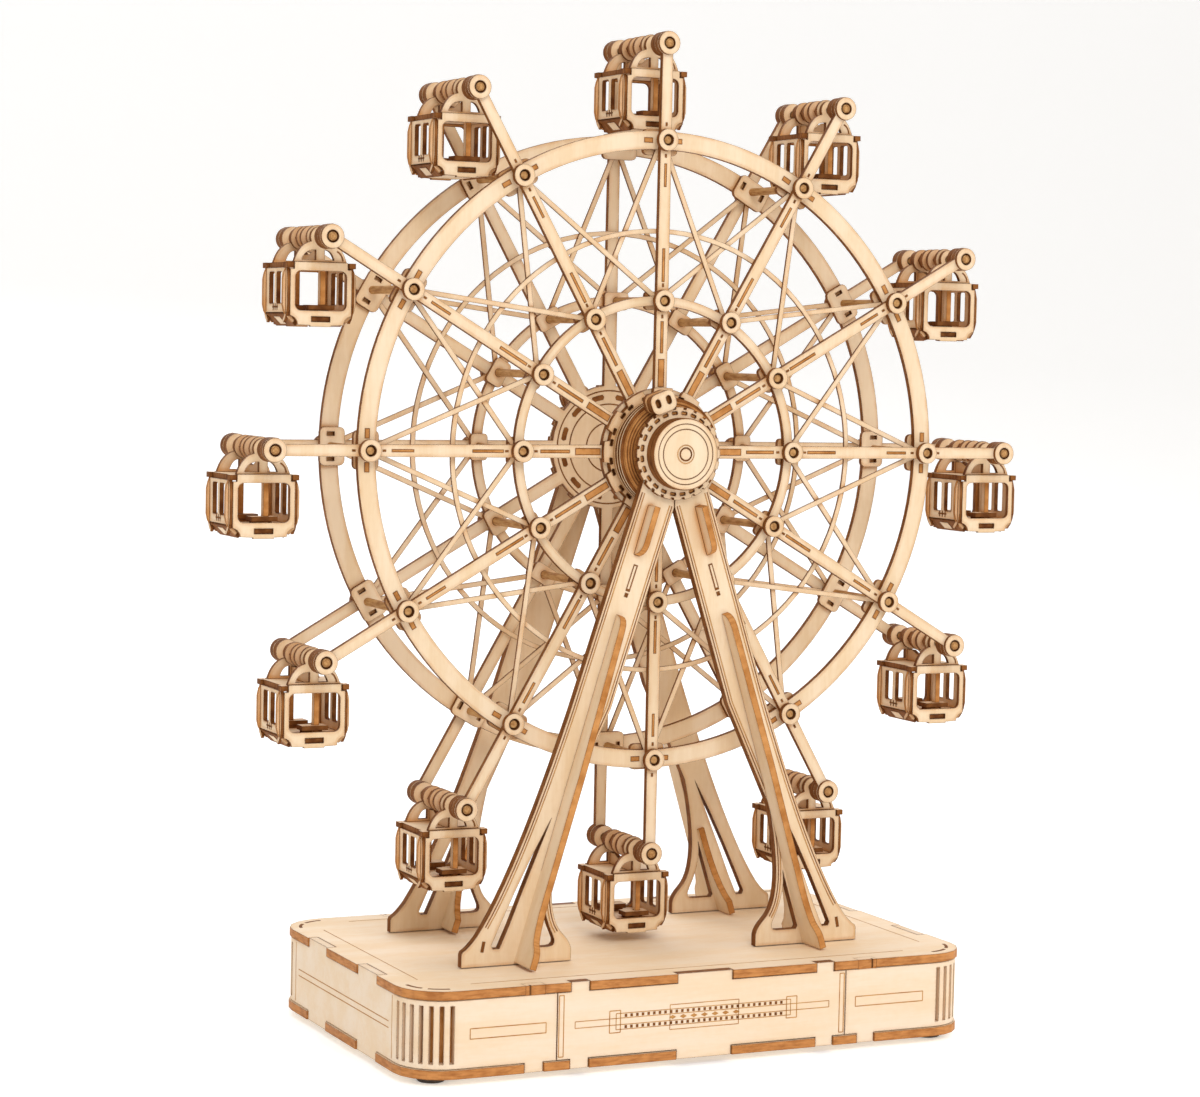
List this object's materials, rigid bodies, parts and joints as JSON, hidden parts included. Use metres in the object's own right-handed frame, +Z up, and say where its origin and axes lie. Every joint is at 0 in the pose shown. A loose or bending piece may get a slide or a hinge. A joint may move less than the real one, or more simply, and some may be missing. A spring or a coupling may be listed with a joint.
{
  "type": "wooden ferris wheel model kit",
  "caption": "Laser-cut plywood ferris wheel with hanging cabins on a double A-frame over a box base with a cranked music movement.",
  "frame": {"origin": "on the floor, under the middle of the whole object's box", "axes": "+Z up, the front towards -Y, the wheel turns about an axis along Y"},
  "size_m": [0.3056, 0.148, 0.3487],
  "materials": {
    "pale_wood": "bare laser-cut basswood plywood, pale faces with burnt edges",
    "warm_wood": "bare plywood seen on its edge, warmer and darker",
    "brown_wood": "bare dowel with darkened ends",
    "rubber": "matt dark rubber",
    "steel": "plain steel",
    "brass": "plain brass"
  },
  "bodies": {
    "root": {"front_left_leg_plate": "pale_wood", "front_left_leg_fin": "warm_wood", "front_right_leg_plate": "pale_wood", "front_right_leg_fin": "warm_wood", "front_bearing_plate": "pale_wood", "rear_left_leg_plate": "pale_wood", "rear_left_leg_fin": "warm_wood", "rear_right_leg_plate": "pale_wood", "rear_right_leg_fin": "warm_wood", "rear_bearing_plate": "pale_wood", "base_bottom_plate": "pale_wood", "base_top_plate": "pale_wood", "base_front_panel": "pale_wood", "base_back_panel": "pale_wood", "base_left_wall": "pale_wood", "base_right_wall": "pale_wood", "rubber_foot_front_left": "rubber", "rubber_foot_front_right": "rubber", "rubber_foot_rear_left": "rubber", "rubber_foot_rear_right": "rubber", "movement_frame": "steel", "music_comb": "steel"},
    "wheel": {"front_spoke_star": "pale_wood", "front_rim": "pale_wood", "front_lattice": "pale_wood", "front_hub_drum": "warm_wood", "front_hub_knob": "pale_wood", "rear_spoke_star": "pale_wood", "rear_rim": "pale_wood", "rear_lattice": "pale_wood", "rear_hub_drum": "warm_wood", "rear_hub_knob": "pale_wood", "main_axle": "brown_wood", "cabin_axle_01": "brown_wood", "cabin_axle_02": "brown_wood", "cabin_axle_03": "brown_wood", "cabin_axle_04": "brown_wood", "cabin_axle_05": "brown_wood", "cabin_axle_06": "brown_wood", "cabin_axle_07": "brown_wood", "cabin_axle_08": "brown_wood", "cabin_axle_09": "brown_wood", "cabin_axle_10": "brown_wood", "cabin_axle_11": "brown_wood", "cabin_axle_12": "brown_wood"},
    "cabin_01": {"cabin_01": "pale_wood"},
    "cabin_02": {"cabin_02": "pale_wood"},
    "cabin_03": {"cabin_03": "pale_wood"},
    "cabin_04": {"cabin_04": "pale_wood"},
    "cabin_05": {"cabin_05": "pale_wood"},
    "cabin_06": {"cabin_06": "pale_wood"},
    "cabin_07": {"cabin_07": "pale_wood"},
    "cabin_08": {"cabin_08": "pale_wood"},
    "cabin_09": {"cabin_09": "pale_wood"},
    "cabin_10": {"cabin_10": "pale_wood"},
    "cabin_11": {"cabin_11": "pale_wood"},
    "cabin_12": {"cabin_12": "pale_wood"},
    "crank": {"crank": "steel", "crank_knob": "pale_wood"},
    "cylinder": {"pinned_cylinder": "brass"}
  },
  "joints": [
    {"name": "wheel_spin", "type": "hinge", "parent": "root", "child": "wheel", "pos_m": [0, -0.0085, 0.2045], "axis": [0, 1, 0], "continuous": true},
    {"name": "cabin_01_swing", "type": "hinge", "parent": "wheel", "child": "cabin_01", "pos_m": [0, -0.0085, 0.3445], "axis": [0, 1, 0], "continuous": true},
    {"name": "cabin_02_swing", "type": "hinge", "parent": "wheel", "child": "cabin_02", "pos_m": [0.07, -0.0085, 0.32574], "axis": [0, 1, 0], "continuous": true},
    {"name": "cabin_03_swing", "type": "hinge", "parent": "wheel", "child": "cabin_03", "pos_m": [0.12124, -0.0085, 0.2745], "axis": [0, 1, 0], "continuous": true},
    {"name": "cabin_04_swing", "type": "hinge", "parent": "wheel", "child": "cabin_04", "pos_m": [0.14, -0.0085, 0.2045], "axis": [0, 1, 0], "continuous": true},
    {"name": "cabin_05_swing", "type": "hinge", "parent": "wheel", "child": "cabin_05", "pos_m": [0.12124, -0.0085, 0.1345], "axis": [0, 1, 0], "continuous": true},
    {"name": "cabin_06_swing", "type": "hinge", "parent": "wheel", "child": "cabin_06", "pos_m": [0.07, -0.0085, 0.08326], "axis": [0, 1, 0], "continuous": true},
    {"name": "cabin_07_swing", "type": "hinge", "parent": "wheel", "child": "cabin_07", "pos_m": [0, -0.0085, 0.0645], "axis": [0, 1, 0], "continuous": true},
    {"name": "cabin_08_swing", "type": "hinge", "parent": "wheel", "child": "cabin_08", "pos_m": [-0.07, -0.0085, 0.08326], "axis": [0, 1, 0], "continuous": true},
    {"name": "cabin_09_swing", "type": "hinge", "parent": "wheel", "child": "cabin_09", "pos_m": [-0.12124, -0.0085, 0.1345], "axis": [0, 1, 0], "continuous": true},
    {"name": "cabin_10_swing", "type": "hinge", "parent": "wheel", "child": "cabin_10", "pos_m": [-0.14, -0.0085, 0.2045], "axis": [0, 1, 0], "continuous": true},
    {"name": "cabin_11_swing", "type": "hinge", "parent": "wheel", "child": "cabin_11", "pos_m": [-0.12124, -0.0085, 0.2745], "axis": [0, 1, 0], "continuous": true},
    {"name": "cabin_12_swing", "type": "hinge", "parent": "wheel", "child": "cabin_12", "pos_m": [-0.07, -0.0085, 0.32574], "axis": [0, 1, 0], "continuous": true},
    {"name": "crank_spin", "type": "hinge", "parent": "root", "child": "crank", "pos_m": [0, 0.0565, 0.0219], "axis": [0, 1, 0], "continuous": true},
    {"name": "cylinder_spin", "type": "hinge", "parent": "root", "child": "cylinder", "pos_m": [0, 0.03, 0.0143], "axis": [1, 0, 0], "continuous": true}
  ],
  "couplings": [
    {"joint": "cabin_01_swing", "follows": "wheel_spin", "ratio": -1},
    {"joint": "cabin_02_swing", "follows": "wheel_spin", "ratio": -1},
    {"joint": "cabin_03_swing", "follows": "wheel_spin", "ratio": -1},
    {"joint": "cabin_04_swing", "follows": "wheel_spin", "ratio": -1},
    {"joint": "cabin_05_swing", "follows": "wheel_spin", "ratio": -1},
    {"joint": "cabin_06_swing", "follows": "wheel_spin", "ratio": -1},
    {"joint": "cabin_07_swing", "follows": "wheel_spin", "ratio": -1},
    {"joint": "cabin_08_swing", "follows": "wheel_spin", "ratio": -1},
    {"joint": "cabin_09_swing", "follows": "wheel_spin", "ratio": -1},
    {"joint": "cabin_10_swing", "follows": "wheel_spin", "ratio": -1},
    {"joint": "cabin_11_swing", "follows": "wheel_spin", "ratio": -1},
    {"joint": "cabin_12_swing", "follows": "wheel_spin", "ratio": -1},
    {"joint": "cylinder_spin", "follows": "crank_spin", "ratio": 0.1}
  ]
}
